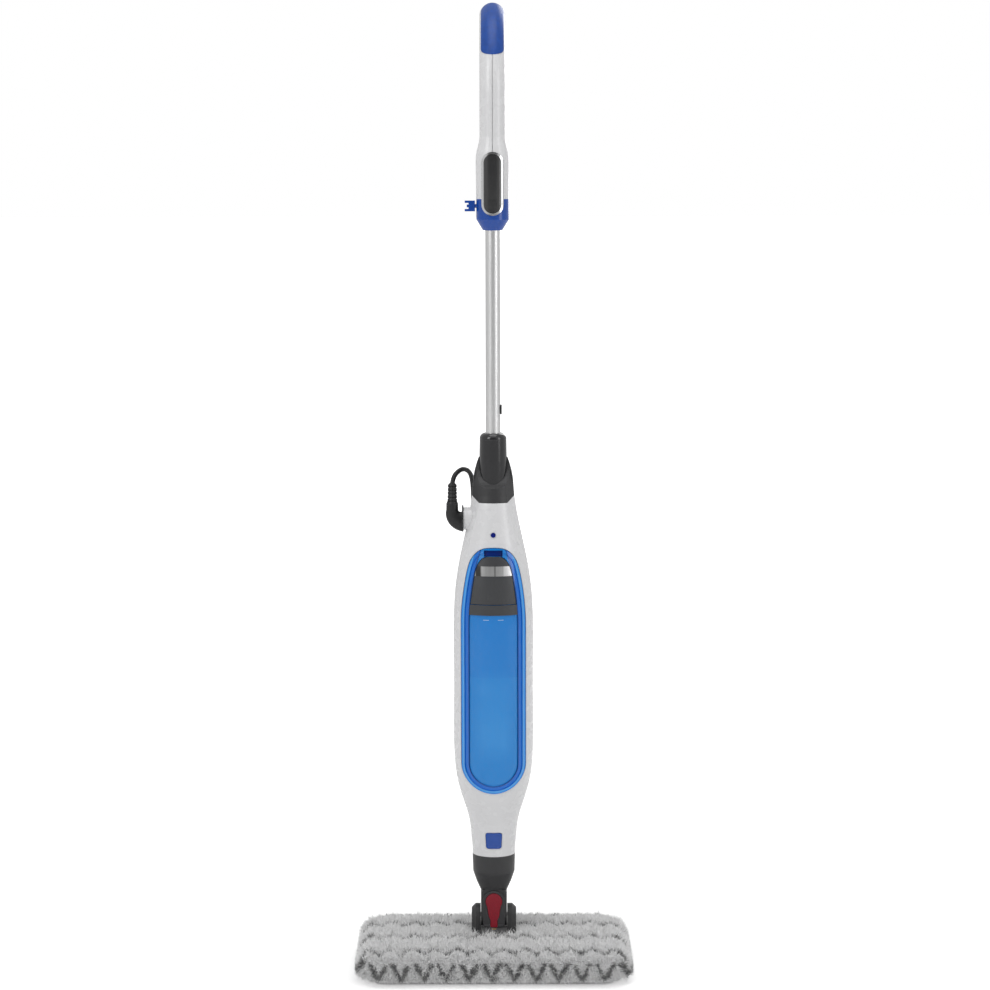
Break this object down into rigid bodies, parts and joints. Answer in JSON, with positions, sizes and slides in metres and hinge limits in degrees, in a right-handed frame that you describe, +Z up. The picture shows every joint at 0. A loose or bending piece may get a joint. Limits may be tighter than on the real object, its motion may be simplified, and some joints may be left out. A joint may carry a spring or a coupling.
{
  "type": "steam mop",
  "caption": "Upright floor mop that makes steam in its body, with a removable front water tank, a slim pole with a bent-back grip and a folding microfibre head.",
  "frame": {"origin": "on the floor, under the pole's axis, at the centre of the mop's head", "axes": "+Z up along the pole, -Y to the mop's front with the water tank, +X to the side away from the cord's outlet"},
  "size_m": [0.336, 0.207, 1.194],
  "materials": {
    "badge_black": "high gloss",
    "black_rubber": "moulded",
    "blue_plastic": "gloss moulded",
    "blue_tank": "clear tinted",
    "board": "coated",
    "boiler_aluminium": "cast",
    "brass": "turned",
    "charcoal_gloss": "gloss moulded",
    "charcoal_plastic": "satin moulded",
    "chrome_trim": "bright plated",
    "cord_black": "sheath",
    "gray_plastic": "satin moulded",
    "head_plastic": "moulded",
    "lens": "frosted lens",
    "microfibre": "pile with grey zigzag lines",
    "pole_aluminium": "satin anodised",
    "pump_plastic": "moulded",
    "red_plastic": "fine texture",
    "silicone": "hose",
    "steel": "machined",
    "white_plastic": "satin gloss moulded"
  },
  "bodies": {
    "head": {"head_block": "charcoal_plastic", "head_base_plate": "head_plastic", "head_screws": "steel", "steam_nozzle": "brass", "pitch_pin": "steel", "wing_pins": "steel", "mop_pad_centre": "microfibre"},
    "wing_left": {"head_wing_left": "head_plastic", "mop_pad_left": "microfibre"},
    "wing_right": {"head_wing_right": "head_plastic", "mop_pad_right": "microfibre"},
    "neck_link": {"neck_link": "charcoal_plastic", "roll_pin": "steel"},
    "pad_release_lever": {"pad_release_lever": "red_plastic"},
    "collar": {"neck_collar": "charcoal_plastic", "collar_steam_tube": "silicone"},
    "mop_body": {"front_housing": "white_plastic", "rear_housing": "white_plastic", "housing_screws": "steel", "top_cap": "charcoal_plastic", "pole_socket": "charcoal_gloss", "spigot_socket": "head_plastic", "boiler": "boiler_aluminium", "pump": "pump_plastic", "circuit_board": "board", "pump_hose": "silicone", "intake_hose": "silicone", "steam_hose": "silicone", "tank_valve_seat": "head_plastic", "status_ring": "chrome_trim", "status_lens": "lens", "cord_boss": "white_plastic", "cord_flange": "black_rubber", "strain_relief": "black_rubber", "power_cord": "cord_black", "cord_hank": "cord_black", "cord_tail": "cord_black", "cord_tie": "black_rubber", "cord_hook": "charcoal_plastic", "power_plug": "black_rubber", "plug_pins": "steel"},
    "release_button": {"release_button": "blue_plastic"},
    "tank": {"water_tank": "blue_tank", "tank_valve": "black_rubber", "tank_band": "gray_plastic"},
    "fill_door": {"fill_door": "gray_plastic", "fill_door_trim": "chrome_trim", "filler_stopper": "black_rubber"},
    "pole": {"pole": "pole_aluminium", "handle_shell_left": "white_plastic", "handle_shell_right": "white_plastic", "grip_insert": "blue_plastic", "badge_bezel": "chrome_trim", "badge_plate": "badge_black", "handle_collar": "blue_plastic"},
    "pole_lock_button": {"pole_lock_button": "black_rubber"},
    "cord_clip": {"cord_clip": "blue_plastic"}
  },
  "joints": [
    {"name": "wing_left_fold", "type": "hinge", "parent": "head", "child": "wing_left", "pos_m": [-0.02, 0, 0.01], "axis": [0, -1, 0], "range_deg": [0, 60]},
    {"name": "wing_right_fold", "type": "hinge", "parent": "head", "child": "wing_right", "pos_m": [0.02, 0, 0.01], "axis": [0, 1, 0], "range_deg": [0, 60]},
    {"name": "neck_pitch", "type": "hinge", "parent": "head", "child": "neck_link", "pos_m": [0, 0, 0.058], "axis": [-1, 0, 0], "range_deg": [0, 70]},
    {"name": "neck_roll", "type": "hinge", "parent": "neck_link", "child": "collar", "pos_m": [0, 0, 0.069], "axis": [0, 1, 0], "range_deg": [-45, 45]},
    {"name": "pad_release_press", "type": "hinge", "parent": "neck_link", "child": "pad_release_lever", "pos_m": [0, -0.0166, 0.049], "axis": [-1, 0, 0], "range_deg": [0, 2], "stiffness_Nm_per_rad": 0.5, "springref_deg": -0.57},
    {"name": "head_release_slide", "type": "slide", "parent": "collar", "child": "mop_body", "axis": [0, 0, 1], "range_m": [0, 0.06]},
    {"name": "release_button_press", "type": "slide", "parent": "mop_body", "child": "release_button", "axis": [0, 1, 0], "range_m": [0, 0.003], "stiffness_N_per_m": 400, "springref_m": -0.001},
    {"name": "tank_slide", "type": "slide", "parent": "mop_body", "child": "tank", "axis": [0, -1, 0], "range_m": [0, 0.08]},
    {"name": "fill_door_hinge", "type": "hinge", "parent": "tank", "child": "fill_door", "pos_m": [0, -0.044, 0.4595], "axis": [1, 0, 0], "range_deg": [0, 70]},
    {"name": "pole_slide", "type": "slide", "parent": "mop_body", "child": "pole", "axis": [0, 0, 1], "range_m": [0, 0.055]},
    {"name": "pole_lock_press", "type": "slide", "parent": "pole", "child": "pole_lock_button", "axis": [-1, 0, 0], "range_m": [0, 0.002], "stiffness_N_per_m": 300, "springref_m": -0.001},
    {"name": "cord_clip_swivel", "type": "hinge", "parent": "pole", "child": "cord_clip", "pos_m": [-0.0215, -0.002, 0.9465], "axis": [1, 0, 0], "range_deg": [-90, 90]}
  ]
}
